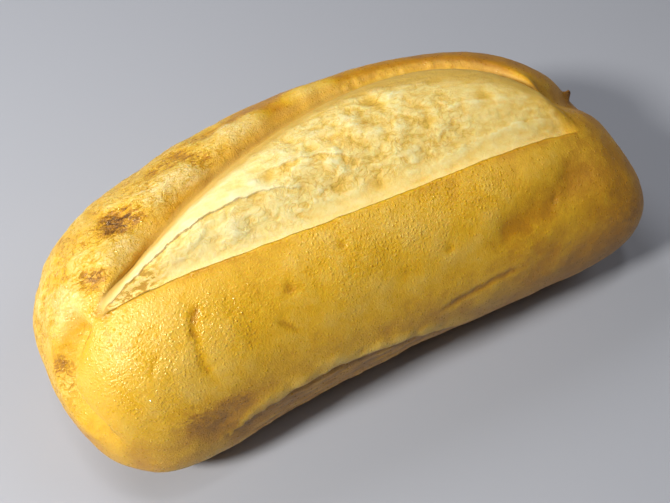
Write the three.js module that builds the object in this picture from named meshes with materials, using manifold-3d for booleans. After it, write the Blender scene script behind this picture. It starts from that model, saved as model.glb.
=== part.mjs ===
// Bread roll, in millimetres: one baked piece, split open along its top by a single long slash.
// +X runs along the roll, -Y is the side of the fat smooth lobe, +Z is up, and z = 0 is the tray.

import * as THREE from 'three';
import { mergeVertices } from 'three/addons/utils/BufferGeometryUtils.js';
import Module from 'manifold-3d';

// Overall size
const LENGTH = 180;
const HEIGHT = 61;
const FRONT_REACH = 39.7; // from the axis to the front flank
const REAR_REACH = 49.2; // from the axis to the rear flank
const WAIST_HEIGHT = 22; // height of the widest line
const BELLY_DEPTH = 30; // reach of the round belly below that line, before the tray flattens it
const TOP_FULLNESS = 0.88; // 1 is an ellipse, lower is squarer
const BELLY_FULLNESS = 0.8;

// How bluntly each end closes: 2 is an ellipse, higher is blunter
const FRONT_BLUNTNESS = { left: 12, right: 13 };
const REAR_BLUNTNESS = { left: 1.5, right: 3.3 };
const TOP_BLUNTNESS = { left: 4.9, right: 3 };

// The slash: a leaf-shaped opening between the lip of the front lobe and the rear ridge
const SLASH_START = -0.82; // as a share of the half length
const SLASH_END = 0.73;
const SLASH_WIDTH = 43.8;
const SLASH_LEFT_TAPER = 1.04;
const SLASH_RIGHT_TAPER = 0.5;
const LIP_OFFSET = -13.3; // the lip lies in front of the axis
const LIP_BOW = -4.2;
const LIP_STEP = 2; // the crumb lies this far under the lip
const SEAM = 1.2;
const CRUMB_SWELL = 1.5;

// The furrow where the crumb meets the rear ridge, from the slash's left end to its right
const GROOVE_DEPTH = { left: 5, right: 3 };
const GROOVE_REAR_WIDTH = { left: 6, right: 3.5 };
const GROOVE_FRONT_WIDTH = { left: 7, right: 4 };
const GROOVE_FULL_GAP = 14; // the furrow is shallower where the slash is narrower than this

// Local fullness of the flanks: amount, place along the half length, and spread
const FRONT_TUCK = { amount: 3.5, at: 0.25, spread: 0.71, top: 30 };
const HEEL = { amount: 2.5, at: -0.62, spread: 0.2, bottom: 10, top: 45 };
const REAR_FLAT = { amount: 0.7, at: -0.4, spread: 0.41 };

// The lip's crease, carried on round the left end
const CREASE_DEPTH = 3;
const CREASE_INNER_WIDTH = 1.5;
const CREASE_OUTER_WIDTH = 8;
const CREASE_SWING = 0.115; // how far past the slash's tip it swings, as a share of the half length
const CREASE_TURN = 0.93; // share of a half turn that the swing makes
const CREASE_LAG = 1.6; // above 1, it runs outward first and drops later
const CREASE_END_ANGLE = Math.PI / 30; // above the waist, where it dies out
const CREASE_STEPS = 10;

// The notch between the two lobes at the right end
const NOTCH_DEPTH = 5;
const NOTCH_WIDTH = 6;
const NOTCH_PATH = [
  [62, 0, 54],
  [70, 1, 49],
  [76, 3, 43],
  [82, 5, 35],
  [87, 6, 27],
];

// Mesh
const RINGS = 56;
const SEGMENTS = 50;
const CRUST_SHARE = 0.68; // share of the segments that lie on crust, the rest lie in the slash

const { clamp, lerp, smoothstep } = THREE.MathUtils;
const bell = (value, centre, width) => Math.exp(-(((value - centre) / width) ** 2));

// How much of the full section is left at u, which runs from -1 to 1 along the roll
function endTaper(u, bluntness) {
  const power = u < 0 ? bluntness.left : bluntness.right;
  return Math.sqrt(Math.max(1 - Math.abs(u) ** power, 1e-12));
}

// Sizes of the cross section at u
function sectionAt(u) {
  const top = endTaper(u, TOP_BLUNTNESS);
  const t = clamp((u - SLASH_START) / (SLASH_END - SLASH_START), 0, 1);
  const widest = SLASH_LEFT_TAPER / (SLASH_LEFT_TAPER + SLASH_RIGHT_TAPER);
  const leaf = (v) => v ** SLASH_LEFT_TAPER * (1 - v) ** SLASH_RIGHT_TAPER;
  const front = FRONT_REACH * endTaper(u, FRONT_BLUNTNESS);
  const gap = (SLASH_WIDTH * leaf(t)) / leaf(widest);
  const lip = (LIP_OFFSET + LIP_BOW * (1 - u * u)) * (1 - (1 - top) ** 3);
  return {
    t,
    front,
    rear: REAR_REACH * endTaper(u, REAR_BLUNTNESS),
    rise: (HEIGHT - WAIST_HEIGHT) * top,
    drop: BELLY_DEPTH * top,
    gap,
    lip,
    crest: lip + gap + SEAM * Math.min(1, front / 10),
    open: smoothstep(t, 0, 0.1) * smoothstep(1 - t, 0, 0.05),
  };
}

// Point of the closed outline at an angle: 0 is the front, a quarter turn is the top
function outlinePoint(section, angle) {
  const c = Math.cos(angle);
  const s = Math.sin(angle);
  const fullness = s > 0 ? TOP_FULLNESS : BELLY_FULLNESS;
  const reach = c > 0 ? -section.front : section.rear;
  const height = s > 0 ? section.rise : -section.drop;
  return {
    y: reach * Math.abs(c) ** fullness,
    z: WAIST_HEIGHT + height * Math.abs(s) ** fullness,
  };
}

// Angle at which the top of the outline reaches a given y
function angleAt(section, y) {
  const share = y < 0 ? Math.min(-y / section.front, 1) : Math.min(y / section.rear, 1);
  const cosine = share ** (1 / TOP_FULLNESS);
  return Math.acos(y < 0 ? cosine : -cosine);
}

// The crease leaves the slash's left tip, swings out over the end and comes back as it drops
function creasePath() {
  const tip = sectionAt(SLASH_START);
  const startAngle = angleAt(tip, tip.lip);
  return Array.from({ length: CREASE_STEPS + 1 }, (_, i) => {
    const k = i / CREASE_STEPS;
    const u = SLASH_START - CREASE_SWING * Math.sin(Math.PI * CREASE_TURN * k);
    const angle = lerp(startAngle, CREASE_END_ANGLE, k ** CREASE_LAG);
    const { y, z } = outlinePoint(sectionAt(u), angle);
    return [(LENGTH / 2) * u, y, z];
  });
}

// Crust, from the lip down the front, under the belly and up the rear to the crest of the ridge
function crustPoint(section, k) {
  const bottom = -Math.PI / 2;
  const lipAngle = angleAt(section, section.lip);
  const crestAngle = angleAt(section, section.crest) - 2 * Math.PI;
  const angle = k < 0.5
    ? lerp(lipAngle, bottom, 2 * k)
    : lerp(bottom, crestAngle, 2 * k - 1);
  const point = outlinePoint(section, angle);
  const onRidge = k > 0.5 && point.z > WAIST_HEIGHT;
  if (onRidge) {
    const width = alongSlash(GROOVE_REAR_WIDTH, section.t);
    point.z -= grooveDepth(section) * bell(point.y - section.crest, 0, width);
  }
  return point;
}

// Crumb, from the crest of the ridge (w = 0) forward to the lip (w = 1)
function crumbPoint(section, w) {
  const y = section.crest + (section.lip - section.crest) * w;
  const step = LIP_STEP * (1 - smoothstep(1 - w, 0.02, 0.45)) * smoothstep(1 - w, 0, 0.03);
  const swell = CRUMB_SWELL * Math.sin(Math.PI * w) ** 2;
  const width = alongSlash(GROOVE_FRONT_WIDTH, section.t);
  const nearRidge = bell(section.crest - y, 0, width) * smoothstep(1 - w, 0, 0.3);
  const groove = grooveDepth(section) * nearRidge;
  const { z } = outlinePoint(section, angleAt(section, y));
  return { y, z: z - groove + (swell - step) * section.open };
}

function alongSlash(size, t) {
  return lerp(size.left, size.right, t);
}

function grooveDepth(section) {
  const full = alongSlash(GROOVE_DEPTH, section.t);
  return full * section.open * Math.min(1, section.gap / GROOVE_FULL_GAP);
}

// Move in and out of the flanks where the roll is tucked in or swollen
function flankShift(u, y, z) {
  const tuck = FRONT_TUCK.amount * bell(u, FRONT_TUCK.at, FRONT_TUCK.spread)
    * (1 - smoothstep(z, 0, FRONT_TUCK.top));
  const heel = HEEL.amount * bell(u, HEEL.at, HEEL.spread)
    * (1 - smoothstep(z, HEEL.bottom, HEEL.top));
  const flat = REAR_FLAT.amount * bell(u, REAR_FLAT.at, REAR_FLAT.spread);
  return (tuck - heel) * smoothstep(-y, 0, 15) - flat * smoothstep(y, 0, 25);
}

// Surface point for a place u along the roll and s round the section
function rollPoint(u, s) {
  const section = sectionAt(u);
  const { y, z } = s <= CRUST_SHARE
    ? crustPoint(section, s / CRUST_SHARE)
    : crumbPoint(section, (s - CRUST_SHARE) / (1 - CRUST_SHARE));
  return new THREE.Vector3((LENGTH / 2) * u, y + flankShift(u, y, z), z);
}

// Nearest place on a path: distance, share of the path run, and which side of it the point lies on
function nearestOnPath(path, point, outward) {
  const nearest = { distance: Infinity, share: 0, side: 1 };
  const foot = new THREE.Vector3();
  path.slice(1).forEach((end, i) => {
    const line = new THREE.Line3(new THREE.Vector3(...path[i]), new THREE.Vector3(...end));
    const along = line.closestPointToPointParameter(point, true);
    const distance = line.at(along, foot).distanceTo(point);
    if (distance < nearest.distance) {
      const across = line.delta(new THREE.Vector3()).cross(point.clone().sub(line.start));
      nearest.distance = distance;
      nearest.share = (i + along) / (path.length - 1);
      nearest.side = Math.sign(across.dot(outward)) || 1;
    }
  });
  return nearest;
}

// Direction out of the body at a surface point
function outwardAt(point) {
  const core = new THREE.Vector3(0.75 * point.x, 0, 25);
  return point.clone().sub(core).normalize();
}

const CREASE_PATH = creasePath();

// Press the crease and the notch into the ends
function pressEnds(point) {
  const outward = outwardAt(point);
  const crease = nearestOnPath(CREASE_PATH, point, outward);
  const creaseWidth = crease.side > 0 ? CREASE_INNER_WIDTH : CREASE_OUTER_WIDTH;
  const creaseFade = smoothstep(crease.share, 0, 0.15) * (1 - smoothstep(crease.share, 0.6, 1));
  const notch = nearestOnPath(NOTCH_PATH, point, outward);
  const notchFade = smoothstep(notch.share, 0, 0.2) * (1 - smoothstep(notch.share, 0.5, 1));
  const depth = CREASE_DEPTH * creaseFade * bell(crease.distance, 0, creaseWidth)
    + NOTCH_DEPTH * notchFade * bell(notch.distance, 0, NOTCH_WIDTH);
  return point.addScaledVector(outward, -depth);
}

// A sphere's vertices moved onto the roll: its pole axis becomes the roll's length
function rollSkin() {
  const sphere = new THREE.SphereGeometry(1, SEGMENTS, RINGS);
  const position = sphere.getAttribute('position');
  const uv = sphere.getAttribute('uv');
  for (let i = 0; i < position.count; i += 1) {
    const point = pressEnds(rollPoint(position.getY(i), uv.getX(i)));
    position.setXYZ(i, point.x, point.y, point.z);
  }
  sphere.deleteAttribute('normal');
  sphere.deleteAttribute('uv');
  return mergeVertices(sphere, 1e-3);
}

const wasm = await Module();
wasm.setup();

// Cut the closed skin flat where it stood on the tray
function cutFlat(skin) {
  const solid = new wasm.Manifold(new wasm.Mesh({
    numProp: 3,
    vertProperties: new Float32Array(skin.getAttribute('position').array),
    triVerts: new Uint32Array(skin.getIndex().array),
  }));
  const { vertProperties, triVerts } = solid.trimByPlane([0, 0, 1], 0).getMesh();
  const geometry = new THREE.BufferGeometry();
  geometry.setAttribute('position', new THREE.BufferAttribute(vertProperties, 3));
  geometry.setIndex(new THREE.BufferAttribute(triVerts, 1));
  return geometry;
}

// The origin is under the middle of the roll's box
function centreOverOrigin(geometry) {
  geometry.computeBoundingBox();
  const middle = geometry.boundingBox.getCenter(new THREE.Vector3());
  geometry.translate(-middle.x, -middle.y, 0);
  geometry.computeVertexNormals();
  return geometry;
}

const crust = new THREE.MeshStandardMaterial({ color: 0xc8922e, roughness: 0.45, metalness: 0 });

const roll = new THREE.Mesh(centreOverOrigin(cutFlat(rollSkin())), crust);
roll.name = 'bread_roll';

const group = new THREE.Group();
group.add(roll);

export default group;
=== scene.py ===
import math
import random

import bmesh
import bpy
import numpy as np
from mathutils import Matrix, Vector, noise


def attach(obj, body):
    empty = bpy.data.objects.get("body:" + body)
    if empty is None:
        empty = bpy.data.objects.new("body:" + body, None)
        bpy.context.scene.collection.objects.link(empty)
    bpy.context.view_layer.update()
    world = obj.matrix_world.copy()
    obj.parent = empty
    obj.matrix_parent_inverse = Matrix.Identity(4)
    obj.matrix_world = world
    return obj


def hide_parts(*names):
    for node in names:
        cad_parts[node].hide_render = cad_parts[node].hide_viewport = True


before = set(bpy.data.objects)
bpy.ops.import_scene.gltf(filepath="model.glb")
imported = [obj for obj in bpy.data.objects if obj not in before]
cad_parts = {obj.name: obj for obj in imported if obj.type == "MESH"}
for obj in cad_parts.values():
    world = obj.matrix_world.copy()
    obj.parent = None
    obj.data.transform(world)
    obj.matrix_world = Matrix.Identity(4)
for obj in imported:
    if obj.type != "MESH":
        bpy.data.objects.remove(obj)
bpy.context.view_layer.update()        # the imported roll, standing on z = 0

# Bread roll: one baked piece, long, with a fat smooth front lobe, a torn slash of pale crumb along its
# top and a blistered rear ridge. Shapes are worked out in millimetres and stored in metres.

MM = 0.001

# Driving dimensions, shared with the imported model
LENGTH = 180.0
HEIGHT = 61.0
FRONT_REACH = 39.7
REAR_REACH = 49.2
WAIST_HEIGHT = 22.0
BELLY_DEPTH = 30.0
TOP_FULLNESS = 0.88
BELLY_FULLNESS = 0.8
FRONT_BLUNTNESS = (12.0, 13.0)
REAR_BLUNTNESS = (1.5, 3.3)
TOP_BLUNTNESS = (4.9, 3.0)
SLASH_START = -0.82
SLASH_END = 0.73
SLASH_WIDTH = 43.8
SLASH_LEFT_TAPER = 1.04
SLASH_RIGHT_TAPER = 0.5
LIP_OFFSET = -13.3
LIP_BOW = -4.2
LIP_STEP = 2.0
SEAM = 1.2
CRUMB_SWELL = 1.5
GROOVE_DEPTH = (5.0, 3.0)
GROOVE_REAR_WIDTH = (6.0, 3.5)
GROOVE_FRONT_WIDTH = (7.0, 4.0)
GROOVE_FULL_GAP = 14.0
TROUGH_CUT = (1.3, 0.6)
MIDDLE = 3.8             # the middle of the roll's box lies this far behind its axis

# Local fullness of the flanks: amount, place along the half length, and spread
FRONT_TUCK = (3.5, 0.25, 0.71)
HEEL = (2.5, -0.62, 0.2)
REAR_FLAT = (0.7, -0.4, 0.41)

# Mesh: rings along the roll, and segments round each ring for each stretch of the section
RINGS = 330
FRONT_SEGMENTS = 75
FOOT_SEGMENTS = 20
UNDER_SEGMENTS = 35
REAR_SEGMENTS = 70
CRUMB_SEGMENTS = 100
SEGMENTS = FRONT_SEGMENTS + FOOT_SEGMENTS + UNDER_SEGMENTS + REAR_SEGMENTS + CRUMB_SEGMENTS


# ---------------------------------------------------------------- small maths

def smooth(value, low, high):
    """0 below low, 1 above high, easing between."""
    t = np.clip((value - low) / (high - low), 0.0, 1.0)
    return t * t * (3.0 - 2.0 * t)


def bell(value, centre, width):
    return np.exp(-(((value - centre) / width) ** 2))


def blend(pair, t):
    return pair[0] + (pair[1] - pair[0]) * t


def lumps(points, size, octaves=3, shift=0.0):
    """Fractal noise, about -1 to 1, whose lumps are size mm across."""
    places = points / size + shift
    return np.array([noise.fractal(Vector(p), 1.0, 2.0, octaves) for p in places])


def warped(points, size, amount, shift=0.0):
    """Points pushed about by noise, so that what is drawn on them turns ragged."""
    return points + amount * np.stack([lumps(points, size, 2, shift + 7.0 * i) for i in range(3)], -1)


def cells(points, size):
    """Distances to the nearest and second nearest of scattered points size mm apart, as shares of size."""
    found = [noise.voronoi(Vector(p))[0] for p in points / size]
    return np.array([f[0] for f in found]), np.array([f[1] for f in found])


def path_place(points, path, outward):
    """For each point: distance to a path, share of the path run, and its side, 1 or -1."""
    path = np.array(path, float)
    best = np.full(len(points), 1e9)
    share = np.zeros(len(points))
    side = np.ones(len(points))
    for i in range(len(path) - 1):
        start, run = path[i], path[i + 1] - path[i]
        t = np.clip(((points - start) @ run) / (run @ run), 0.0, 1.0)
        distance = np.linalg.norm(points - start - t[:, None] * run, axis=1)
        across = np.cross(np.broadcast_to(run, points.shape), points - start)
        nearer = distance < best
        best = np.where(nearer, distance, best)
        share = np.where(nearer, (i + t) / (len(path) - 1), share)
        side = np.where(nearer, np.where((across * outward).sum(1) < 0.0, -1.0, 1.0), side)
    return best, share, side


def path_fade(share, start, end):
    """1 along a path, easing to 0 over its first and last shares."""
    return smooth(share, 0.0, start) * (1.0 - smooth(share, 1.0 - end, 1.0))


# ---------------------------------------------------------------- the roll's body

def taper(u, bluntness):
    power = np.where(u < 0.0, bluntness[0], bluntness[1])
    return np.sqrt(np.maximum(1.0 - np.abs(u) ** power, 1e-12))


class Section:
    """Sizes of the cross section at each u, which runs from -1 to 1 along the roll."""

    def __init__(self, u):
        top = taper(u, TOP_BLUNTNESS)
        self.u = u
        self.t = np.clip((u - SLASH_START) / (SLASH_END - SLASH_START), 0.0, 1.0)
        widest = SLASH_LEFT_TAPER / (SLASH_LEFT_TAPER + SLASH_RIGHT_TAPER)
        self.front = FRONT_REACH * taper(u, FRONT_BLUNTNESS)
        self.rear = REAR_REACH * taper(u, REAR_BLUNTNESS)
        self.rise = (HEIGHT - WAIST_HEIGHT) * top
        self.drop = BELLY_DEPTH * top
        self.gap = SLASH_WIDTH * self.leaf(self.t) / self.leaf(widest)
        self.lip = (LIP_OFFSET + LIP_BOW * (1.0 - u * u)) * (1.0 - (1.0 - top) ** 3)
        self.crest = self.lip + self.gap + SEAM * np.minimum(1.0, self.front / 10.0)
        self.open = smooth(self.t, 0.0, 0.1) * smooth(1.0 - self.t, 0.0, 0.05)
        narrow = np.minimum(1.0, self.gap / GROOVE_FULL_GAP) ** 0.7
        self.groove = blend(GROOVE_DEPTH, self.t) * self.open * narrow
        self.foot_angle = np.arcsin(np.minimum(0.94, (WAIST_HEIGHT / self.drop) ** (1.0 / BELLY_FULLNESS)))

    def only(self, chosen):
        """The same sizes for the chosen points alone."""
        part = Section.__new__(Section)
        for name, values in vars(self).items():
            setattr(part, name, values[chosen])
        return part

    @staticmethod
    def leaf(t):
        return t ** SLASH_LEFT_TAPER * (1.0 - t) ** SLASH_RIGHT_TAPER

    def outline(self, angle):
        """Point of the closed outline: angle 0 is the front, a quarter turn is the top."""
        c, s = np.cos(angle), np.sin(angle)
        fullness = np.where(s > 0.0, TOP_FULLNESS, BELLY_FULLNESS)
        y = np.where(c > 0.0, -self.front, self.rear) * np.abs(c) ** fullness
        z = WAIST_HEIGHT + np.where(s > 0.0, self.rise, -self.drop) * np.abs(s) ** fullness
        return y, z

    def angle_at(self, y):
        share = np.clip(np.where(y < 0.0, -y / self.front, y / self.rear), 0.0, 1.0)
        cosine = share ** (1.0 / TOP_FULLNESS)
        return np.arccos(np.where(y < 0.0, cosine, -cosine))


def crust_angle(section, step):
    """Outline angle of each crust segment, going from the lip down the front, under and up the rear."""
    lip = section.angle_at(section.lip)
    crest = section.angle_at(section.crest) - 2.0 * math.pi
    ankle = np.full_like(lip, -math.radians(20.0))
    foot = -section.foot_angle
    far_foot = -math.pi + section.foot_angle
    ends = [lip, ankle, foot, far_foot, crest]
    counts = [FRONT_SEGMENTS, FOOT_SEGMENTS, UNDER_SEGMENTS, REAR_SEGMENTS]
    angle = lip.copy()
    first = 0
    for i, count in enumerate(counts):
        k = np.clip((step - first) / count, 0.0, 1.0)
        angle = np.where(step >= first, blend((ends[i], ends[i + 1]), k), angle)
        first += count
    return angle


def fullness(u, form):
    amount, place, spread = form
    return amount * bell(u, place, spread)


def flank_shift(u, y, z):
    """Where the flanks are tucked in or swollen."""
    tuck = fullness(u, FRONT_TUCK) * (1.0 - smooth(z, 0.0, 30.0))
    heel = fullness(u, HEEL) * (1.0 - smooth(z, 10.0, 45.0))
    flat = fullness(u, REAR_FLAT)
    return (tuck - heel) * smooth(-y, 0.0, 15.0) - flat * smooth(y, 0.0, 25.0)


def loft(section, step):
    """Surface points, and how far across the crumb each lies: 0 at the ridge, 1 at the lip."""
    crust_steps = SEGMENTS - CRUMB_SEGMENTS
    on_crust = step <= crust_steps
    y, z = section.outline(crust_angle(section, step))
    on_ridge = (step > crust_steps / 2) & (z > WAIST_HEIGHT)
    behind = bell(y - section.crest, 0.0, blend(GROOVE_REAR_WIDTH, section.t))
    cut = section.open * blend(TROUGH_CUT, section.t)
    z = z - np.where(on_ridge, section.groove * behind + cut * bell(y - section.crest, 0.0, 1.6), 0.0)

    w = np.clip((step - crust_steps) / CRUMB_SEGMENTS, 0.0, 1.0)
    from_lip = (1.0 - w) * (section.crest - section.lip)
    crumb_y = section.lip + from_lip
    crumb_z = section.outline(section.angle_at(crumb_y))[1]
    ahead = bell(section.crest - crumb_y, 0.0, blend(GROOVE_FRONT_WIDTH, section.t))
    crumb_z -= section.groove * ahead * smooth(1.0 - w, 0.0, 0.3)
    crumb_z -= cut * bell(section.crest - crumb_y, 0.0, 2.2) * smooth(1.0 - w, 0.0, 0.3)
    crumb_z += section.open * CRUMB_SWELL * np.sin(math.pi * w) ** 2
    crumb_z -= section.open * LIP_STEP * (1.0 - smooth(1.0 - w, 0.02, 0.45)) * smooth(from_lip, 0.0, 0.7)
    crumb_y -= section.open * 0.9 * bell(from_lip, 0.8, 0.7)

    y = np.where(on_crust, y, crumb_y)
    z = np.where(on_crust, z, crumb_z)
    points = np.stack([LENGTH / 2.0 * section.u, y + flank_shift(section.u, y, z), z], -1)
    return points, np.where(on_crust, -1.0, w), np.where(on_crust, 1e3, from_lip)


def sphere_places(mesh):
    """u and section step of each vertex of a unit sphere with its poles on Z."""
    co = np.empty(len(mesh.vertices) * 3)
    mesh.vertices.foreach_get("co", co)
    co = co.reshape(-1, 3)
    turn = np.arctan2(co[:, 1], co[:, 0]) / (2.0 * math.pi)
    step = np.round(turn * SEGMENTS) % SEGMENTS
    latitude = np.arcsin(np.clip(co[:, 2], -1.0, 1.0)) / (math.pi / 2.0)
    return (7.0 * latitude - latitude ** 7) / 6.0, step


def normals(mesh, points):
    mesh.vertices.foreach_set("co", (points * MM).ravel())
    mesh.update()
    out = np.empty(len(points) * 3, np.float32)
    mesh.vertex_normals.foreach_get("vector", out)
    return out.reshape(-1, 3).astype(float)


# ---------------------------------------------------------------- what is pressed, torn and blistered

def on_crust(u, degrees):
    """A place on the outline: 0 degrees is the front of the waist, 90 the top, 180 the rear."""
    y, z = Section(np.array([u])).outline(np.radians([degrees]))
    return LENGTH / 2.0 * u, y[0] - MIDDLE, z[0]


def on_ridge(u, behind):
    """A place on the rear ridge, so many mm behind its crest."""
    section = Section(np.array([u]))
    y = section.crest + behind
    return LENGTH / 2.0 * u, y[0] - MIDDLE, section.outline(section.angle_at(y))[1][0]


def on_crumb(u, w):
    """A place on the crumb seen from above: w is 0 at the ridge and 1 at the lip."""
    section = Section(np.array([u]))
    return LENGTH / 2.0 * u, blend((section.crest[0], section.lip[0]), w) - MIDDLE, 0.0


def line(place, start, end, bow=(0.0, 0.0), steps=8):
    """A line over the surface from start to end, bowed most in its middle."""
    path = []
    for k in np.linspace(0.0, 1.0, steps + 1):
        bend = math.sin(math.pi * k)
        first, second = (blend((start[i], end[i]), k) + bow[i] * bend for i in (0, 1))
        path.append(place(first, second))
    return path


def crease_path(steps=10):
    """The lip's crease leaves the slash's tip, swings out over the left end and comes back as it drops."""
    tip = Section(np.array([SLASH_START]))
    top = math.degrees(tip.angle_at(tip.lip)[0])
    path = []
    for k in np.linspace(0.0, 1.0, steps + 1):
        u = SLASH_START - CREASE_SWING * math.sin(math.pi * CREASE_TURN * k)
        path.append(on_crust(u, blend((top, CREASE_END_DEGREES), k ** CREASE_LAG)))
    return path


dice = random.Random(7)


def strewn(place, count, first, second, radius, strength):
    """Patches strewn evenly along a stretch of the surface: x, y, z, radius and strength of each."""
    patches = []
    for i in range(count):
        spot = place(blend(first, (i + dice.random()) / count), dice.uniform(*second))
        patches.append((*spot, dice.uniform(*radius), dice.uniform(*strength)))
    return patches


def scaled(patches, by):
    return [(x, y, z, radius, by * strength) for x, y, z, radius, strength in patches]


# The lip's crease, carried on round the left end, and the notch and thorn that end the slash on the right
CREASE_SWING = 0.115
CREASE_TURN = 0.93
CREASE_LAG = 1.6
CREASE_END_DEGREES = 6.0
CREASE = crease_path()
CREASE_DEPTH = 4.0
CREASE_INNER_WIDTH = 1.2
CREASE_OUTER_WIDTH = 5.5
NOTCH_PATH = [(62, 0, 54), (70, 1, 49), (76, 3, 43), (82, 5, 35), (87, 6, 27)]
NOTCH = [(x, y - MIDDLE, z) for x, y, z in NOTCH_PATH]
NOTCH_DEPTH = 5.0
NOTCH_WIDTH = 6.0
THORN = on_crust(0.93, 110)
THORN_HEIGHT = 2.8
THORN_RADIUS = 1.15

# Edges in the crumb
TORN_EDGE = line(on_crumb, (-0.82, 0.65), (-0.15, 0.75), (0.0, -0.18))
LOOSE_EDGE = line(on_crumb, (-0.3, 0.45), (0.05, 0.75), (0.0, -0.05))
SKIN_EDGE = line(on_crumb, (0.15, 0.9), (0.7, 0.75))
FIBRE_EDGE = line(on_crumb, (0.2, 0.6), (0.6, 0.6))

# Puffs (raised) and hollows (sunk) in the crumb, and where it is yellower: real yellow stains, and painted
# shade on the same sunk hollows
CRUMB_HOLLOWS = strewn(on_crumb, 10, (-0.4, 0.5), (0.3, 0.9), (2.0, 3.5), (0.3, 0.7))
CRUMB_FORMS = [
    *strewn(on_crumb, 12, (-0.2, 0.25), (0.25, 0.8), (2.5, 4.0), (0.3, 0.6)),
    *strewn(on_crumb, 7, (-0.5, -0.2), (0.4, 0.85), (2.5, 3.0), (0.3, 0.5)),
    *scaled(CRUMB_HOLLOWS, -1.0),
]
CRUMB_STAINS_AND_PIT_SHADE = [*CRUMB_HOLLOWS, *strewn(on_crumb, 8, (-0.1, 0.6), (0.3, 0.8), (2.0, 4.0), (0.3, 0.6))]

# Swells (raised, and paler) and saddles (sunk, and browner) on the rear ridge: the paler colour is partly
# painted highlight and the browner partly painted shade
SWELLS = strewn(on_ridge, 11, (-0.9, 0.1), (2.0, 11.0), (4.0, 6.0), (0.3, 0.7))
SADDLES = strewn(on_ridge, 9, (-0.8, -0.2), (4.0, 16.0), (3.0, 4.5), (0.4, 0.9))
RIDGE_FORMS = [*SWELLS, *scaled(SADDLES, -1.0)]

# Dents and folds in the crust
HOOKED_DENT = line(on_crust, (-0.56, 60), (-0.58, 22), (-0.04, 0))
SOFT_VALLEY = line(on_crust, (0.75, 55), (0.2, 30))
BELLY_CREASE = line(on_crust, (-0.65, -3), (0.35, -15), (0, 14), 12)

# Hairline cracks and folds: path, depth, width, how dark
CRACKS = [
    (line(on_crust, (0.2, 110), (0.3, 130)), 0.6, 0.7, 0.6),
    (line(on_crust, (0.05, 12), (0.4, 18)), 0.45, 0.6, 0.6),
    (line(on_crust, (-0.55, 57), (-0.6, 45), (-0.03, 0)), 0.22, 0.5, 0.6),
    (line(on_crust, (-0.4, 40), (-0.33, 30)), 0.3, 0.5, 0.4),
    (line(on_crust, (-0.7, 48), (-0.75, 40)), 0.25, 0.5, 0.25),
]

# Where the ends are fuller or flatter: place, radius, amount
GAINS = [
    (*on_crust(-0.78, -13), 9.0, 1.3),
    (*on_crust(0.93, 20), 11.0, 1.0),
    (*on_crust(-0.6, 130), 10.0, -0.6),
    (*on_crust(0.91, 95), 5.0, -1.2),
]
PITS = [
    (*on_crust(-0.8, 72), 2.6, 0.9),
    (*on_crust(-0.6, 4), 7.0, 1.2),
    *strewn(on_crust, 4, (-0.7, 0.8), (30, 60), (1.0, 1.6), (0.3, 0.4)),
]

# Where the crust is browned, pale or glazed; the brown on the saddles and low on the front flank is partly
# painted shade, the pale on the swells partly painted highlight
BROWN_AND_SHADE_PATCHES = [
    # Brown on the ridge's sunk saddles: partly real browning, partly painted shade
    *scaled(SADDLES, 1.2),
    *strewn(on_ridge, 4, (-0.2, 0.2), (8.0, 14.0), (4.0, 5.5), (0.3, 0.5)),
    *strewn(on_crust, 4, (-0.96, -0.92), (35, 75), (2.5, 3.0), (0.5, 0.9)),
    *strewn(on_crust, 5, (-0.82, -0.55), (55, 68), (3.0, 4.0), (0.35, 0.6)),
    *strewn(on_crust, 4, (-0.4, -0.1), (38, 60), (4.0, 6.0), (0.1, 0.25)),
    # Lower front flank: brown, partly painted shade of its shallow valleys
    *strewn(on_crust, 6, (-0.1, 0.5), (8, 30), (6.0, 9.0), (0.12, 0.3)),
    # Lower left front: brown, partly painted shade where the flank faces down
    *strewn(on_crust, 5, (-0.7, -0.5), (3, 14), (2.0, 5.5), (0.4, 0.9)),
    (*on_crust(0.8, 18), 12.0, 0.55),
    (*THORN, 3.5, 1.8),
]
# Pale on the ridge's raised swells, partly painted highlight; the left end's pale patch is the crust's own
PALE_AND_HIGHLIGHT_PATCHES = [*scaled(SWELLS, 1.4), (*on_crust(-0.93, 90), 7.0, 0.8)]
GLAZED_PATCHES = [
    *strewn(on_crust, 4, (-0.25, 0.4), (56, 64), (10.0, 12.0), (0.7, 1.0)),
    *strewn(on_crust, 4, (-0.85, -0.5), (35, 62), (8.0, 10.0), (0.5, 1.0)),
    *strewn(on_ridge, 2, (-0.85, -0.6), (5.0, 10.0), (12.0, 14.0), (0.7, 0.8)),
]


def blobs(points, patches, ragged):
    """Sum of soft round patches, with ragged edges."""
    total = np.zeros(len(points))
    for x, y, z, radius, strength in patches:
        total += strength * bell(np.linalg.norm(ragged - (x, y, z), axis=1), 0.0, radius)
    return total


def domes(points, size):
    """Rounded lumps packed side by side, 0 in the creases between them and 1 on top."""
    nearest, second = cells(points, size)
    return np.sqrt(np.clip(second - nearest, 0.0, 1.0))


def press_ends(points, outward):
    """The crease at the left end and the notch and thorn at the right one."""
    distance, share, side = path_place(points, CREASE, outward)
    width = np.where(side > 0.0, CREASE_INNER_WIDTH, CREASE_OUTER_WIDTH)
    seam_on = smooth(share, 0.0, 0.12) * (1.0 - smooth(share, 0.65, 1.0))
    crease = CREASE_DEPTH * bell(distance, 0.0, width) * seam_on * (1.0 - smooth(distance, 5.0, 9.0))
    seam = side * distance
    distance, share, _ = path_place(points, NOTCH, outward)
    notch = NOTCH_DEPTH * bell(distance, 0.0, NOTCH_WIDTH) * path_fade(share, 0.2, 0.5)
    thorn = THORN_HEIGHT * bell(np.linalg.norm(points - THORN, axis=1), 0.0, THORN_RADIUS)
    gains = blobs(points, GAINS, points)
    return points + outward * (thorn + gains - crease - notch)[:, None], seam, seam_on


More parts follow.
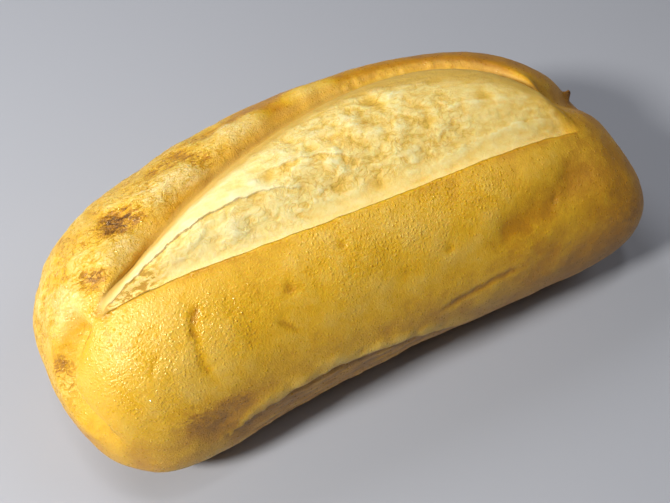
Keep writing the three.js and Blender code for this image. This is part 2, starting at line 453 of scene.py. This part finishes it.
def foot_shift(points):
    """A thin baked rim that flares at the tray, under a shallow crease."""
    z = points[:, 2]
    puckers = 1.0 + 0.35 * lumps(points * (1.0, 0.3, 0.3), 5.0, 2, 12.0)
    return 0.9 * bell(z, 2.0, 2.0) * puckers - 0.6 * bell(z, 6.5, 2.2)


class Crumb:
    """Relief of the torn crumb, and signed distances in mm to the edges drawn on it."""

    def __init__(self, points, w, from_lip, section):
        up = np.array((0.0, 0.0, 1.0))
        flat = points * (1.0, 1.0, 0.0)
        stir = np.stack([lumps(points, 3.5, 3, 4.0), lumps(points, 3.5, 3, 9.0), np.zeros(len(points))], -1)
        ragged = flat + 0.7 * stir

        def edge(path, start, end):
            distance, share, side = path_place(ragged, path, up)
            return side * distance, path_fade(share, start, end)

        def step(signed, fade, rise, rise_width, fall, fall_width):
            raised = rise * bell(signed, 0.0, rise_width)
            sunk = fall * bell(signed, 0.0, fall_width)
            return fade * np.where(signed > 0.0, raised, sunk)

        self.tear, self.tear_on = edge(TORN_EDGE, 0.1, 0.15)
        self.loose, self.loose_on = edge(LOOSE_EDGE, 0.2, 0.3)
        skin, skin_on = edge(SKIN_EDGE, 0.15, 0.15)
        fibre, fibre_on = edge(FIBRE_EDGE, 0.2, 0.2)
        x = flat[:, 0]
        self.ramp = smooth(self.tear, -0.3, 0.8) * (1.0 - smooth(x, -34.0, -16.0)) * smooth(x, -80.0, -70.0)

        height = step(self.tear, self.tear_on * smooth(x, -70.0, -60.0), 0.22, 4.0, -0.14, 2.2)
        height += step(self.loose, self.loose_on, 0.2, 2.5, -0.2, 1.2)
        height += skin_on * np.where(skin > 0.0, -0.15 * bell(skin, 3.0, 3.0), 0.10 * bell(skin, 0.0, 3.0))
        height += 0.2 * fibre_on * bell(fibre, 0.0, 0.8)
        for form_x, form_y, _, radius, amount in CRUMB_FORMS:
            away = np.hypot(ragged[:, 0] - form_x, ragged[:, 1] - form_y)
            height += 0.9 * amount * bell(away, 0.0, radius)

        plate = (1.0 - smooth(x, -22.0, -10.0)) * (1.0 - self.ramp) * smooth(from_lip, 1.5, 4.0)
        middle = smooth(x, -26.0, -12.0) * (1.0 - smooth(x, 26.0, 38.0))
        middle = middle * smooth(from_lip, 3.0, 8.0) * smooth(w, 0.06, 0.3)
        right = 0.25 * smooth(x, 20.0, 30.0) * (1.0 - skin_on * (skin < 0.0))
        self.torn = np.clip(0.7 * plate + middle + right, 0.0, 1.0)
        bent = points + 1.6 * stir
        height += plate * (0.22 * domes(bent, 3.6) - 0.10)
        height += middle * (0.28 * domes(bent, 5.0) - 0.12 + 0.16 * lumps(bent, 4.5, 3, 1.0))
        folds = np.abs(lumps(bent * (0.6, 1.0, 1.0), 5.0, 3, 5.0))
        height -= 0.16 * self.torn * bell(folds, 0.0, 0.12)
        height += self.torn * (0.11 * domes(bent + 20.0, 1.9) - 0.05)
        fibres = np.stack([0.3 * x - 0.5 * points[:, 1], 0.35 * x + 1.0 * points[:, 1], points[:, 2]], -1)
        height += 0.14 * lumps(fibres, 1.8, 3, 8.0)
        inside = smooth(w, 0.0, 0.06) * smooth(from_lip, 0.4, 2.5)
        self.height = height * inside * section.open
        # Yellow stains; where they sit on the sunk hollows they are painted shade.
        self.stain_and_pit_shade = sum(amount * bell(np.hypot(ragged[:, 0] - at_x, ragged[:, 1] - at_y), 0.0, radius)
                         for at_x, at_y, _, radius, amount in CRUMB_STAINS_AND_PIT_SHADE)


class Crust:
    """Relief of the crust: its undulation, dents, blisters and crack."""

    def __init__(self, points, section):
        x, y, z = points.T
        outward = points - np.stack([0.75 * x, 0.0 * y, 0.0 * z + 25.0], -1)
        height = 0.45 * lumps(points, 28.0, 2, 3.0) + 0.16 * lumps(points, 6.5, 3, 6.0)

        def dent(path, start, end):
            distance, share, _ = path_place(ragged, path, outward)
            return distance, path_fade(share, start, end)

        ragged = warped(points, 5.0, 0.6, 1.0)
        distance, fade = dent(HOOKED_DENT, 0.2, 0.3)
        height -= fade * (0.25 * bell(distance, 0.0, 0.9) + 0.35 * bell(distance, 0.0, 3.5))
        distance, fade = dent(SOFT_VALLEY, 0.3, 0.3)
        height -= 1.0 * fade * bell(distance, 0.0, 5.5)
        self.crack = np.zeros(len(points))
        for path, depth, width, dark in CRACKS:
            distance, fade = dent(path, 0.3, 0.3)
            height -= depth * fade * bell(distance, 0.0, 1.6 * width)
            self.crack = np.maximum(self.crack, dark * fade * bell(distance, 0.0, width))
        distance, share, side = path_place(warped(points, 6.0, 1.0, 5.0), BELLY_CREASE, outward)
        fade = path_fade(share, 0.12, 0.3)
        below = smooth(-side * distance, -0.5, 1.2)
        self.band = fade * below * smooth(z, 1.0, 5.0) * smooth(-y, 20.0, 30.0)
        self.crease = -side * distance
        self.crease_on = fade * smooth(-y, 20.0, 30.0)
        above = 0.4 + 0.5 * lumps(points, 6.0, 2, 15.0)
        lifted = above * bell(side * distance, 3.0, 3.0)
        height += self.crease_on * (lifted - 1.3 * bell(distance, 0.0, 0.9))
        height += self.band * (0.35 * lumps(points * (0.3, 1.0, 1.3), 2.4, 3, 9.0) - 0.5)
        for pit_x, pit_y, pit_z, radius, depth in PITS:
            height -= depth * bell(np.linalg.norm(ragged - (pit_x, pit_y, pit_z), axis=1), 0.0, radius)
        height += 1.5 * blobs(points, RIDGE_FORMS, ragged)

        ridge = smooth(y, -16.0, -8.0) * (1.0 - smooth(x, -40.0, -8.0)) * smooth(z, 25.0, 45.0)
        end = smooth(-x, 78.0, 86.0) * smooth(y, -30.0, -18.0) * smooth(z, 18.0, 30.0)
        behind = y - section.crest + MIDDLE
        off_wall = 1.0 - bell(behind, 0.0, 2.2) * (z > 35.0)
        self.blister = np.maximum(ridge, end) * off_wall
        bent = warped(points, 9.0, 2.0, 11.0)
        height += self.blister * (0.45 * lumps(bent, 7.0, 2, 4.0) + 0.25 * domes(bent, 3.6) - 0.1)
        beads = smooth(x, 4.0, 14.0) * (1.0 - smooth(x, 50.0, 64.0)) * bell(behind, 2.0, 1.6)
        height += np.where(z > 40.0, beads * (0.9 * domes(points, 2.8) - 0.1), 0.0)
        self.height = height


def build_roll():
    bm = bmesh.new()
    bmesh.ops.create_uvsphere(bm, u_segments=SEGMENTS, v_segments=RINGS, radius=1.0)
    mesh = bpy.data.meshes.new("bread_roll_baked")
    bm.to_mesh(mesh)
    bm.free()

    u, step = sphere_places(mesh)
    section = Section(u)
    along = np.stack([40.0 * u, 0.0 * u, 0.0 * u], -1)
    section.lip = section.lip + section.open * 0.35 * lumps(along, 3.0, 3, 2.0)
    section.crest = section.crest + section.open * 0.5 * lumps(along, 4.0, 3, 6.0)
    points, w, from_lip = loft(section, step)
    crust = (w < 0.0) | (section.open <= 0.0)
    crumb = ~crust
    shift = (points[:, 1].min() + points[:, 1].max()) / 2.0
    points[:, 1] -= shift

    core = np.stack([0.75 * points[:, 0], np.full(len(points), -MIDDLE), np.full(len(points), 25.0)], -1)
    outward = (points - core) / np.linalg.norm(points - core, axis=1)[:, None]
    points, seam, seam_on = press_ends(points, outward)

    normal = normals(mesh, points)
    level = normal * (1.0, 1.0, 0.0)
    level /= np.maximum(np.linalg.norm(level, axis=1), 0.3)[:, None]
    torn_part = Crumb(points[crumb], w[crumb], from_lip[crumb], section.only(crumb))
    baked_part = Crust(points[crust], section.only(crust))
    height = np.zeros(len(points))
    height[crumb] = torn_part.height
    at_lip = section.open[crust] * (1.0 - smooth(step[crust], 0.0, 4.0))
    height[crust] = baked_part.height * (1.0 - 0.7 * at_lip)
    closing = crumb & (section.open < 1.0)
    height[closing] += (1.0 - section.open[closing]) * Crust(points[closing], section.only(closing)).height
    height *= 1.0 - seam_on * bell(seam, 0.0, 5.0)
    foot = np.zeros(len(points))
    foot[crust] = foot_shift(points[crust])

    ragged = warped(points, 4.0, 1.6, 3.0)
    place = points.copy()
    x, y, z = place.T
    points = points + normal * height[:, None] + level * foot[:, None]
    points[:, 2] = soft_floor(points[:, 2])
    mesh.vertices.foreach_set("co", (points * MM).ravel())
    mesh.polygons.foreach_set("use_smooth", np.ones(len(mesh.polygons), bool))

    def spread(part_values, where, elsewhere=0.0):
        values = np.full(len(points), float(elsewhere))
        values[where] = part_values
        return values

    lip_place = np.stack([section.lip - shift, section.outline(section.angle_at(section.lip))[1]], -1)
    over_lip = -np.hypot(y - lip_place[:, 0], z - lip_place[:, 1])
    front = crust & (step < (SEGMENTS - CRUMB_SEGMENTS) / 2)
    lip = np.where(crust, np.where(front, over_lip, 12.0), from_lip)
    crest = np.where(front, 24.0, np.where(crust, section.crest - shift - y, w_to_crest(w, section)))
    near_slash = crumb | (lip > -8.0) & front | (crest > -8.0) & ~front & (z > 35.0)
    attributes = {
        "slash": near_slash * smooth(section.gap, 0.5, 3.0) * (1.0 - smooth(section.t, 0.93, 1.0)),
        "lip": np.clip(lip, -12.0, 12.0),
        "crest": np.clip(crest, -12.0, 24.0),
        "tear": spread(np.clip(torn_part.tear, -9.0, 9.0), crumb, 9.0),
        "tear_on": spread(torn_part.tear_on, crumb),
        "loose": spread(np.clip(torn_part.loose, -9.0, 9.0), crumb, 9.0),
        "loose_on": spread(torn_part.loose_on, crumb),
        "ramp": spread(torn_part.ramp, crumb),
        "torn": spread(torn_part.torn, crumb),
        "stain_and_pit_shade": spread(torn_part.stain_and_pit_shade, crumb),
        "glaze": blobs(place, GLAZED_PATCHES, ragged),
        # Painted shade: above 0.5 where a vertex lies below its smoothed neighbours, below 0.5 on lumps
        "cavity_shade": np.clip(0.5 + (relaxed(mesh, height, 40) - height) / 0.55, 0.0, 1.0),
        "seam": np.clip(seam, -9.0, 9.0),
        "seam_on": seam_on,
        "brown": blobs(place, BROWN_AND_SHADE_PATCHES, ragged),
        "pale": blobs(place, PALE_AND_HIGHLIGHT_PATCHES, ragged),
        "blister": spread(baked_part.blister, crust),
        "crack": spread(baked_part.crack, crust),
        "band": spread(baked_part.band, crust),
        "band_edge": spread(np.clip(baked_part.crease, -9.0, 9.0), crust, 9.0),
        "band_on": spread(baked_part.crease_on, crust),
        "foot": 1.0 - smooth(z, 3.0, 9.0),
    }
    for name, values in attributes.items():
        store(mesh, name, values)
    mesh.update()
    return mesh


def relaxed(mesh, values, passes):
    """Values averaged with those of their neighbours along the edges, over and over."""
    pairs = np.empty(len(mesh.edges) * 2, int)
    mesh.edges.foreach_get("vertices", pairs)
    first, second = pairs.reshape(-1, 2).T
    size = len(values)
    counts = np.bincount(pairs, minlength=size)
    for _ in range(passes):
        sums = np.bincount(first, values[second], size) + np.bincount(second, values[first], size)
        values = (values + sums / counts) / 2.0
    return values


def w_to_crest(w, section):
    """Distance in mm from the ridge for points across the crumb."""
    return np.maximum(w, 0.0) * (section.crest - section.lip)


def soft_floor(z, reach=1.5):
    """Nothing goes below 0, with a small round where the flank meets the flat."""
    rounded = (z + reach) ** 2 / (4.0 * reach)
    return np.where(z < -reach, 0.0, np.where(z > reach, z, rounded))


def store(mesh, name, values):
    layer = mesh.attributes.new(name, "FLOAT", "POINT")
    layer.data.foreach_set("value", values.astype(np.float32))


# ---------------------------------------------------------------- materials

class Graph:
    """A material's node tree, with short calls for the nodes used here."""

    def __init__(self, name):
        self.material = bpy.data.materials.new(name)
        self.material.use_nodes = True
        self.tree = self.material.node_tree
        self.tree.nodes.clear()

    def node(self, kind, inputs=None, **settings):
        made = self.tree.nodes.new(kind)
        for key, value in settings.items():
            setattr(made, key, value)
        for key, value in (inputs or {}).items():
            self.feed(made.inputs[key], value)
        return made

    def feed(self, socket, value):
        if isinstance(value, bpy.types.NodeSocket):
            self.tree.links.new(value, socket)
        else:
            socket.default_value = value

    def attribute(self, name):
        made = self.node("ShaderNodeAttribute", attribute_name=name, attribute_type="GEOMETRY")
        return made.outputs["Fac"]

    def maths(self, operation, a, b=0.0):
        return self.node("ShaderNodeMath", {0: a, 1: b}, operation=operation).outputs[0]

    def total(self, *terms):
        result = terms[0]
        for term in terms[1:]:
            result = self.maths("ADD", result, term)
        return result

    def times(self, *factors):
        result = factors[0]
        for factor in factors[1:]:
            result = self.maths("MULTIPLY", result, factor)
        return result

    def noise(self, vector, size_mm, detail=3.0, rough=0.55, distortion=0.0):
        """Noise, 0 to 1, whose grain is about size_mm across."""
        inputs = {"Vector": vector, "Scale": 1.0 / (size_mm * MM), "Detail": detail, "Roughness": rough,
                  "Distortion": distortion}
        return self.node("ShaderNodeTexNoise", inputs).outputs["Fac"]

    def pebbles(self, vector, size_mm):
        """Packed round grains size_mm across, 1 on top."""
        inputs = {"Vector": vector, "Scale": 1.0 / (size_mm * MM), "Smoothness": 0.35}
        grains = self.node("ShaderNodeTexVoronoi", inputs, feature="SMOOTH_F1").outputs["Distance"]
        return self.range(grains, 0.0, 0.7, 1.0, 0.0)

    def beads(self, vector, size_mm, kept):
        """Scattered beads of glaze: a share kept of the grains size_mm across, each a small dome."""
        inputs = {"Vector": vector, "Scale": 1.0 / (size_mm * MM)}
        cell = self.node("ShaderNodeTexVoronoi", inputs, feature="F1")
        picked = self.node("ShaderNodeSeparateColor", {"Color": cell.outputs["Color"]}).outputs["Red"]
        dome = self.range(cell.outputs["Distance"], 0.05, 0.5, 1.0, 0.0)
        return self.times(dome, self.range(self.total(picked, kept), 0.9, 1.0))

    def stretched(self, vector, scale, turn):
        mapping = {"Vector": vector, "Rotation": (0.0, 0.0, turn), "Scale": scale}
        return self.node("ShaderNodeMapping", mapping).outputs["Vector"]

    def range(self, value, low, high, to_low=0.0, to_high=1.0):
        inputs = {"Value": value, "From Min": low, "From Max": high, "To Min": to_low, "To Max": to_high}
        return self.node("ShaderNodeMapRange", inputs, interpolation_type="SMOOTHSTEP").outputs["Result"]

    def off(self, value, amount):
        """Noise made to swing evenly about nothing, by amount each way."""
        return self.times(self.maths("ADD", value, -0.5), 2.0 * amount)

    def line(self, signed, half_width, wander):
        """1 on a thin line where signed, in mm, passes nothing."""
        away = self.maths("ABSOLUTE", self.total(signed, wander))
        return self.range(away, 0.3 * half_width, half_width, 1.0, 0.0)

    def mix(self, share, a, b, how="MIX"):
        made = self.node("ShaderNodeMix", data_type="RGBA", blend_type=how)
        self.feed(made.inputs[0], share)
        self.feed(made.inputs[6], a)
        self.feed(made.inputs[7], b)
        return made.outputs[2]

    def ramp(self, value, stops):
        made = self.node("ShaderNodeValToRGB", {"Fac": value})
        elements = made.color_ramp.elements
        while len(elements) < len(stops):
            elements.new(0.5)
        for element, (position, colour) in zip(elements, stops):
            element.position = position
            element.color = (*colour, 1.0)
        return made.outputs["Color"]

    def surface(self, inputs):
        shader = self.node("ShaderNodeBsdfPrincipled", inputs)
        out = self.node("ShaderNodeOutputMaterial")
        self.tree.links.new(shader.outputs["BSDF"], out.inputs["Surface"])


# Trough colours: the ridge's inner face, a gold that is partly the crust's own and partly painted shade
# under the beaded rim, and painted shade along the groove's bottom
TROUGH_FACE = (0.70, 0.395, 0.055, 1.0)
TROUGH_GOLD_AND_SHADE = (0.68, 0.40, 0.055, 1.0)
TROUGH_BOTTOM_SHADE = (0.46, 0.235, 0.025, 1.0)
# Colour of the thin dark lines: browned edges, and painted shade in the creases
SCORCHED_AND_SHADE = (0.27, 0.115, 0.015, 1.0)


class Bread:
    """The one material of the roll: crust, torn crumb and the dark lines between, part scorched edge and
    part painted shade; painted shade also lies in its hollows and along the trough.
    """

    def __init__(self):
        g = self.g = Graph("baked_bread")
        self.place = g.node("ShaderNodeTexCoord").outputs["Object"]
        apart = g.node("ShaderNodeSeparateXYZ", {"Vector": self.place})
        self.x, self.y, self.z = apart.outputs["X"], apart.outputs["Y"], apart.outputs["Z"]
        self.broad = g.noise(self.place, 22.0, 3.0)
        self.mottle = g.noise(self.place, 5.0, 5.0, 0.65)
        self.speck = g.noise(self.place, 1.1, 4.0, 0.7)
        self.fine = g.noise(self.place, 0.45, 2.0, 0.6)
        self.flaky = g.noise(g.stretched(self.place, (1.0, 2.6, 1.0), 0.9), 2.2, 6.0, 0.75, 0.6)
        self.wander = g.off(self.speck, 0.5)
        folded = g.noise(g.stretched(self.place, (0.7, 1.0, 1.0), 0.5), 3.4, 5.0, 0.6, 1.2)
        self.folds = g.range(g.maths("ABSOLUTE", g.total(folded, -0.5)), 0.0, 0.04, 1.0, 0.0)
        # Painted shade in recesses: browner crust and yellower crumb where the surface is sunk
        self.cavity_shade = g.total(g.attribute("cavity_shade"), -0.5)
        self.large_beads = g.beads(self.place, 0.9, g.range(g.attribute("glaze"), 0.0, 1.0, 0.14, 0.42))
        self.lip = g.attribute("lip")
        self.glaze = g.attribute("glaze")
        self.crest = g.attribute("crest")
        self.blister = g.attribute("blister")
        self.foot = g.attribute("foot")
        self.crumb_share = self.crumb_mask()
        self.scorch_and_shade = self.scorched_and_shaded_lines()

    def crumb_mask(self):
        """1 on the crumb, 0 on the crust; sharp at the lip, softer at the ridge."""
        g = self.g
        at_lip = g.range(g.total(self.lip, g.off(self.speck, 0.15)), -0.15, 0.15)
        at_crest = g.range(g.total(self.crest, g.off(self.mottle, 0.8)), -0.6, 0.8)
        return g.times(at_lip, at_crest, g.range(g.attribute("slash"), 0.3, 0.7))

    def scorched_and_shaded_lines(self):
        """Thin dark lines: browned edges under the lip, on the torn edges (partly painted shade under their
        step) and in the cracks, and painted shade in the crease round the left end.
        """
        g = self.g
        under_lip = g.line(g.total(self.lip, -0.25), 0.5, g.times(self.wander, 0.3))
        under_lip = g.times(under_lip, g.attribute("slash"), g.range(self.x, -0.03, 0.03, 1.0, 0.55))
        # Torn edges: browned, and partly painted shade under the edge's small step
        torn = g.times(g.line(g.attribute("tear"), 0.24, g.times(self.wander, 0.7)), g.attribute("tear_on"))
        torn = g.times(torn, g.range(self.x, -0.050, -0.022, 0.9, 0.35))
        loose = g.times(g.line(g.attribute("loose"), 0.25, self.wander), g.attribute("loose_on"), 0.3)
        # Painted shade: a dark line in the crease round the left end
        seam = g.times(g.line(g.attribute("seam"), 0.6, self.wander), g.attribute("seam_on"))
        lines = g.maths("MAXIMUM", under_lip, g.times(torn, g.range(self.flaky, 0.3, 0.5, 0.5, 1.0)))
        lines = g.maths("MAXIMUM", lines, loose)
        band = g.times(g.line(g.attribute("band_edge"), 0.5, self.wander), g.attribute("band_on"), 0.55)
        lines = g.maths("MAXIMUM", g.maths("MAXIMUM", lines, seam), band)
        return g.maths("MAXIMUM", lines, g.times(g.attribute("crack"), 0.8))

    def crust_colour(self):
        """From pale to dark brown, by how far the crust is baked, with painted shade in its dents and
        hollows, on the ridge's saddles and low on the front flank, and painted highlight on the ridge's
        swells.
        """
        g = self.g
        wall = g.total(1.0, g.times(g.range(self.crest, -2.6, -0.9), g.attribute("slash"), -1.0))
        # Brown patches, partly painted shade, and pale patches, partly painted highlight, kept off the
        # trough wall
        patches = g.times(g.attribute("brown"), g.range(self.flaky, 0.38, 0.60, 0.25, 1.0), 0.29, wall)
        pale = g.times(g.attribute("pale"), g.range(self.flaky, 0.38, 0.58, 1.1, 0.6), -0.25, wall)
        patchy = g.noise(self.place, 9.0, 4.0, 0.6, 0.5)
        lip_edge = g.times(g.range(self.lip, -3.0, -0.2, 0.0, 1.0), g.range(self.lip, -0.2, 0.3, 1.0, 0.0))
        lip_edge = g.times(lip_edge, g.attribute("slash"), g.range(self.x, -0.06, -0.03, 0.12, 0.04))
        striped = g.noise(g.stretched(self.place, (0.25, 1.0, 1.4), 0.0), 1.6, 4.0, 0.65)
        bake_and_shade = g.total(
            0.405, g.off(self.broad, 0.12), g.off(patchy, 0.12),
            g.off(self.mottle, 0.08), g.off(self.speck, 0.07),
            # Brown crackle along the folds; painted shade, browner in dents and hollows
            g.times(self.folds, g.total(0.03, g.times(self.blister, 0.15))), g.times(self.cavity_shade, 0.28),
            g.range(self.x, 0.0, 0.075, 0.0, 0.16), g.range(self.z, 0.014, 0.044, 0.14, 0.0),
            g.times(g.range(self.y, 0.0, 0.026, 0.0, 0.17), g.range(self.x, -0.035, -0.005), wall),
            patches, pale, lip_edge,
            g.times(self.blister, g.range(self.flaky, 0.36, 0.64, -0.12, 0.07)),
            g.times(self.foot, 0.16), g.times(g.attribute("band"), g.range(striped, 0.3, 0.7, 0.0, 0.20)),
        )
        return g.ramp(bake_and_shade, [
            (0.0, (0.93, 0.70, 0.28)),
            (0.24, (0.84, 0.56, 0.115)),
            (0.45, (0.79, 0.44, 0.018)),
            (0.60, (0.58, 0.26, 0.008)),
            (0.78, (0.40, 0.165, 0.012)),
            (1.0, (0.12, 0.042, 0.008)),
        ])

    def crumb_colour(self):
        """Pale cream, yellower to the right and on stains; yellower in its hollows and fold creases as
        painted shade. The golden band along the ridge, part baked gold and part painted shade, is added in
        colour().
        """
        g = self.g
        yellow = g.total(
            # Painted shade: yellower in hollows and along the fold creases; stains, partly painted shade on
            # the sunk hollows
            0.24, g.times(self.cavity_shade, 0.60), g.times(g.attribute("stain_and_pit_shade"), 0.16),
            g.times(self.folds, g.attribute("torn"), 0.20),
            g.off(self.mottle, 0.18), g.off(self.speck, 0.12),
            g.range(self.x, -0.045, 0.01, 0.0, 0.14), g.times(g.attribute("ramp"), -0.06),
            g.range(self.x, 0.045, 0.066, 0.0, 0.20),
        )
        tip = g.range(self.x, -0.062, -0.052, 1.0, 0.0)
        before_tear = g.range(g.attribute("tear"), -0.4, 0.2, 1.0, 0.0)
        yellow = g.total(yellow, g.times(tip, before_tear, g.range(self.flaky, 0.44, 0.56, 0.1, 0.9)))
        return g.ramp(yellow, [
            (0.0, (0.98, 0.86, 0.46)),
            (0.30, (0.95, 0.73, 0.26)),
            (0.55, (0.87, 0.565, 0.11)),
            (0.80, (0.68, 0.40, 0.045)),
            (1.0, (0.50, 0.26, 0.02)),
        ])

    def colour(self):
        g = self.g
        mixed = g.mix(self.crumb_share, self.crust_colour(), self.crumb_colour())
        # Golden band on the crumb side of the crest: partly baked gold, partly painted shade under the
        # ridge's rim
        past = g.total(self.crest, g.off(self.mottle, 1.2))
        reach = g.total(g.range(self.x, -0.055, -0.02, 1.0, 6.5), g.range(self.x, -0.01, 0.045, 0.0, 6.0))
        beyond = g.total(past, g.times(reach, -1.0))
        far = g.range(beyond, 0.0, g.range(self.x, 0.0, 0.045, 4.0, 7.0), 1.0, 0.0)
        near_wall = g.range(past, -1.8, 0.3)
        slash = g.attribute("slash")
        face = g.times(g.range(past, -4.6, -2.6), g.range(past, -2.6, -0.4, 1.0, 0.0))
        face = g.times(face, g.range(self.x, -0.03, 0.0, 0.2, 0.65))
        mixed = g.mix(g.times(face, slash), mixed, TROUGH_FACE)
        mixed = g.mix(g.times(far, near_wall, slash, 0.85), mixed, TROUGH_GOLD_AND_SHADE)
        # Painted shade: a darker line along the bottom of the groove
        groove_shade = g.times(g.range(past, -2.2, -0.3), g.range(past, 0.0, 2.2, 1.0, 0.0))
        groove_shade = g.times(groove_shade, g.range(self.x, -0.01, 0.03, 0.55, 0.25))
        mixed = g.mix(g.times(groove_shade, slash), mixed, TROUGH_BOTTOM_SHADE)
        # Dark lines over all: browned edges, and painted shade in creases
        return g.mix(g.times(self.scorch_and_shade, 0.75), mixed, SCORCHED_AND_SHADE)

    def roughness(self):
        g = self.g
        crust = g.total(0.42, g.off(self.speck, 0.10), g.times(self.foot, 0.25))
        crust = g.total(crust, g.range(self.x, 0.01, 0.06, 0.0, 0.08))
        crust = g.total(crust, g.range(self.glaze, 0.0, 1.0, 0.0, -0.18))
        shiny = g.times(g.range(self.large_beads, 0.0, 0.3), g.range(self.glaze, 0.0, 0.8, -0.24, -0.16))
        crust = g.total(crust, shiny)
        return g.total(crust, g.times(self.crumb_share, g.total(0.70, g.times(crust, -1.0))))

    def normal(self):
        """Fine pebbled glaze on the crust, flakes on the crumb and on blisters."""
        g = self.g
        glazed = g.range(self.x, -0.01, 0.05, 1.0, 0.35)
        pebbles = g.times(g.pebbles(self.place, 0.5), glazed, 0.22)
        wrinkles = g.noise(self.place, 1.0, 3.0, 0.55, 0.8)
        wrinkled = g.times(wrinkles, g.range(self.glaze, 0.0, 1.0, 0.4, 1.6))
        glints = g.total(wrinkled, g.times(self.large_beads, g.range(self.glaze, 0.0, 0.8, 0.35, 0.75)))
        crust = g.total(pebbles, glints, g.times(self.fine, 0.35), g.times(self.speck, 0.50))
        crust = g.total(crust, g.times(self.blister, self.flaky, 0.8))
        crust = g.total(crust, g.times(self.folds, self.blister, -0.9))
        flakes = g.noise(self.place, 1.7, 6.0, 0.7, 0.8)
        crumb = g.total(g.times(flakes, g.total(0.8, g.attribute("torn"))), g.times(self.fine, 0.25))
        crumb = g.total(crumb, g.times(self.folds, g.attribute("torn"), -0.5))
        share = self.crumb_share
        relief = g.total(g.times(crust, g.total(1.0, g.times(share, -1.0))), g.times(crumb, share))
        bump = g.node("ShaderNodeBump", {"Strength": 0.55, "Distance": 0.0004, "Height": relief})
        return bump.outputs["Normal"]

    def finish(self):
        self.g.surface({
            "Base Color": self.colour(),
            "Roughness": self.roughness(),
            "Normal": self.normal(),
            "Specular IOR Level": 0.75,
            "Specular Tint": (1.0, 0.90, 0.62, 1.0),
            "Subsurface Weight": 0.3,
            "Subsurface Radius": (1.0, 0.55, 0.2),
            "Subsurface Scale": 1.5 * MM,
        })
        return self.g.material


def floor_material():
    g = Graph("pale_board")
    g.surface({"Base Color": (0.415, 0.42, 0.44, 1.0), "Roughness": 0.7, "Specular IOR Level": 0.3})
    return g.material


# ---------------------------------------------------------------- the piece and its stage

def add_object(name, data):
    made = bpy.data.objects.new(name, data)
    bpy.context.scene.collection.objects.link(made)
    return made


def add_floor():
    bm = bmesh.new()
    bmesh.ops.create_grid(bm, x_segments=1, y_segments=1, size=3.0)
    mesh = bpy.data.meshes.new("floor")
    bm.to_mesh(mesh)
    bm.free()
    mesh.materials.append(floor_material())
    floor = add_object("floor", mesh)


def aimed(position, target, roll=0.0):
    """Matrix of a camera or light at position that looks at target."""
    back = (Vector(position) - Vector(target)).normalized()
    right = Vector((0.0, 0.001, 1.0)).cross(back).normalized()
    up = back.cross(right)
    turned = Matrix((right, up, back)).transposed() @ Matrix.Rotation(roll, 3, "Z")
    return Matrix.Translation(position) @ turned.to_4x4()


CAMERA_TURN = -28.5
CAMERA_TILT = 53.7
CAMERA_ROLL = 1.5
CAMERA_DISTANCE = 0.2261
CAMERA_TARGET = (-0.0056, -0.0079, 0.024)
CAMERA_LENS = 42.0


def add_camera():
    turn, tilt = math.radians(CAMERA_TURN), math.radians(CAMERA_TILT)
    target = Vector(CAMERA_TARGET)
    back = Vector((math.sin(turn) * math.cos(tilt), -math.cos(turn) * math.cos(tilt), math.sin(tilt)))
    data = bpy.data.cameras.new("camera")
    data.lens = CAMERA_LENS
    data.sensor_width = 36.0
    data.clip_start = 0.01
    camera = add_object("camera", data)
    camera.matrix_world = aimed(target + CAMERA_DISTANCE * back, target, math.radians(CAMERA_ROLL))
    bpy.context.scene.camera = camera


# Soft lamps round the table: turn from the front and tilt in degrees, distance, width, power in watts
WHITE = (1.0, 1.0, 1.0)
COOL_WHITE = (0.97, 0.99, 1.06)
LAMPS = {
    "key": ((-80, 40), 0.6, 0.10, 3.5, WHITE),
    "rear_softbox": ((-155, 50), 0.8, 0.40, 2.2, COOL_WHITE),
    "overhead": ((0, 90), 0.8, 0.10, 0.6, COOL_WHITE),
    "fill": ((70, 55), 0.8, 0.40, 0.8, COOL_WHITE),
}


def round_the_table(turn, tilt, distance):
    turn, tilt = math.radians(turn), math.radians(tilt)
    level = distance * math.cos(tilt)
    return level * math.sin(turn), -level * math.cos(turn), distance * math.sin(tilt)


def add_lights():
    for name, (direction, distance, size, power, colour) in LAMPS.items():
        data = bpy.data.lights.new(name, "AREA")
        data.shape = "DISK"
        data.size = size
        data.energy = power
        data.color = colour
        light = add_object(name, data)
        light.matrix_world = aimed(round_the_table(*direction, distance), (0.0, 0.0, 0.03))
    world = bpy.data.worlds.new("room")
    world.use_nodes = True
    background = world.node_tree.nodes["Background"]
    background.inputs["Color"].default_value = (0.80, 0.88, 1.0, 1.0)
    background.inputs["Strength"].default_value = 0.04
    bpy.context.scene.world = world
    bpy.context.scene.view_settings.view_transform = "Standard"


roll_mesh = build_roll()
roll_mesh.materials.append(Bread().finish())
roll = add_object("baked_roll", roll_mesh)
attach(roll, "root")
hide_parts("bread_roll")

add_floor()
add_camera()
add_lights()
